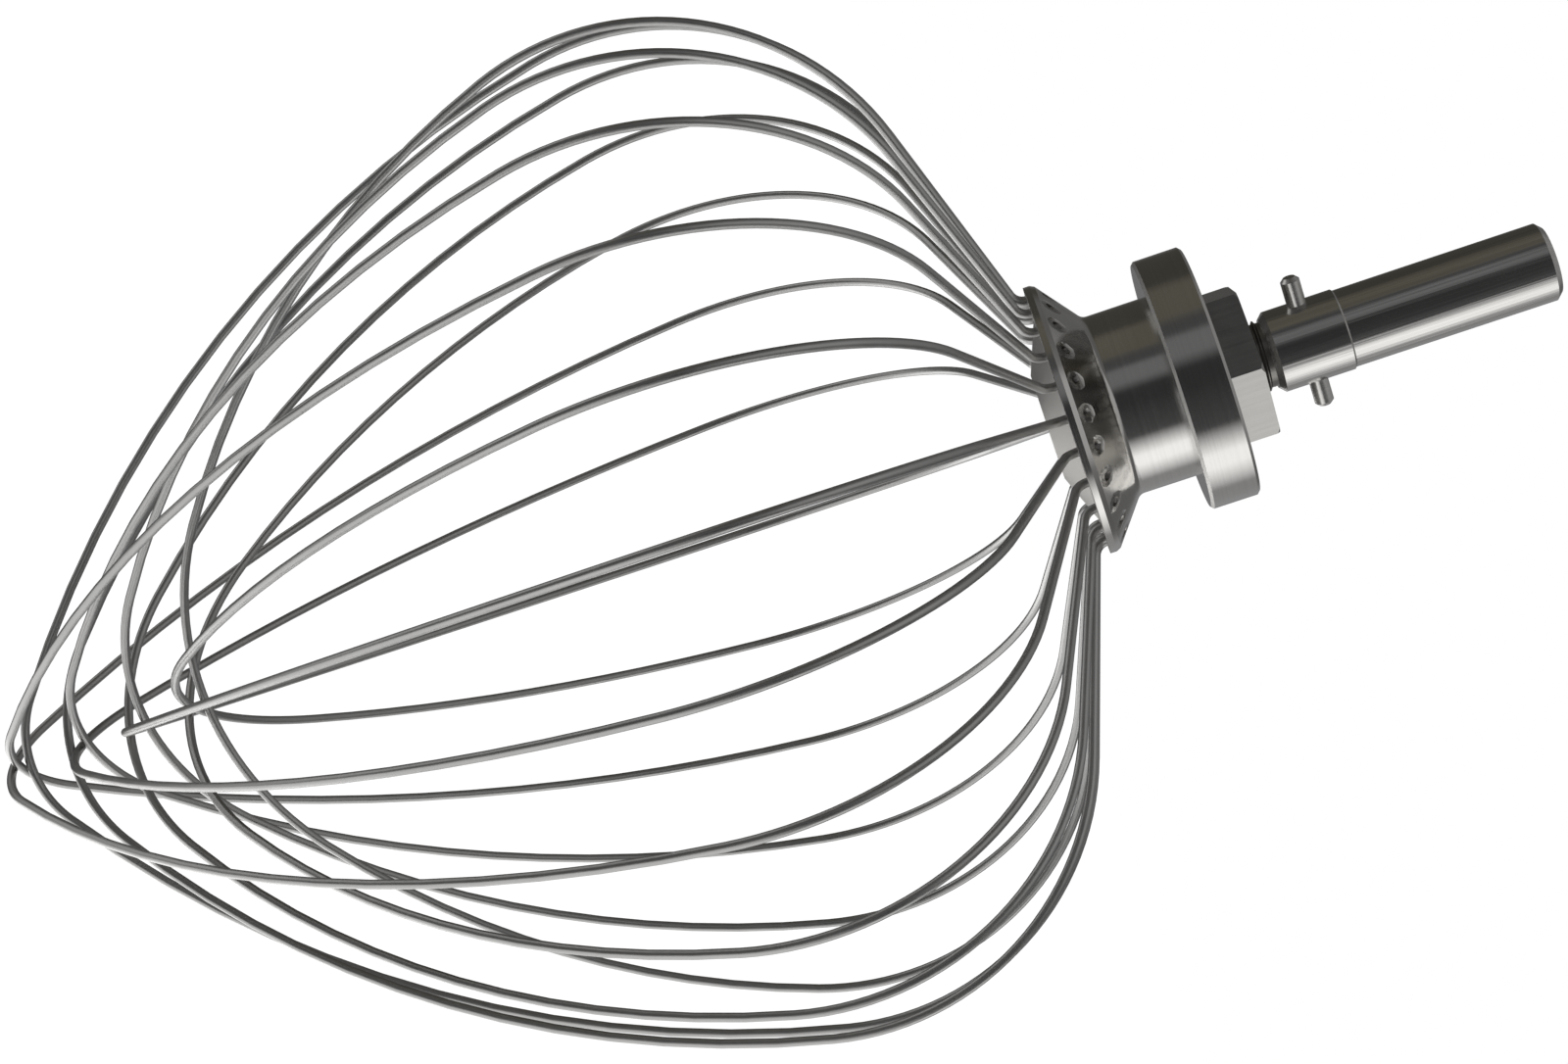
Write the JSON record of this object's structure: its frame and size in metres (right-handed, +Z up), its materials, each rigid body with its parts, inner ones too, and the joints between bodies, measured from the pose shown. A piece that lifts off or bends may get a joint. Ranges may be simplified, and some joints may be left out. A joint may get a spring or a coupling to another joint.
{
  "type": "stand mixer wire whisk",
  "caption": "Balloon whisk for a stand mixer: polished hub with a pinned drive shaft and lock nut, carrying a cage of nested steel wire loops that taper to a point",
  "frame": {"origin": "on the shaft axis at the step where the plain shank ends and the pinned collar begins", "axes": "+Z up the shaft towards the mixer, +X in the plane of the first wire loop, wire cage hanging towards -Z"},
  "size_m": [0.1746, 0.1746, 0.2744],
  "materials": {
    "shaft_steel": "ground and polished lengthwise",
    "pin_steel": "ground",
    "nut_steel": "dull bright, drawn bar",
    "hub_steel": "turned and polished",
    "wire_steel": "bright drawn spring wire"
  },
  "bodies": {
    "root": {"shaft": "shaft_steel", "cross_pin": "pin_steel", "lock_nut": "nut_steel", "hub": "hub_steel", "wire_loop_01": "wire_steel", "wire_loop_02": "wire_steel", "wire_loop_03": "wire_steel", "wire_loop_04": "wire_steel", "wire_loop_05": "wire_steel", "wire_loop_06": "wire_steel", "wire_loop_07": "wire_steel", "wire_loop_08": "wire_steel", "wire_loop_09": "wire_steel", "wire_loop_10": "wire_steel", "wire_loop_11": "wire_steel", "wire_loop_12": "wire_steel"}
  },
  "joints": []
}
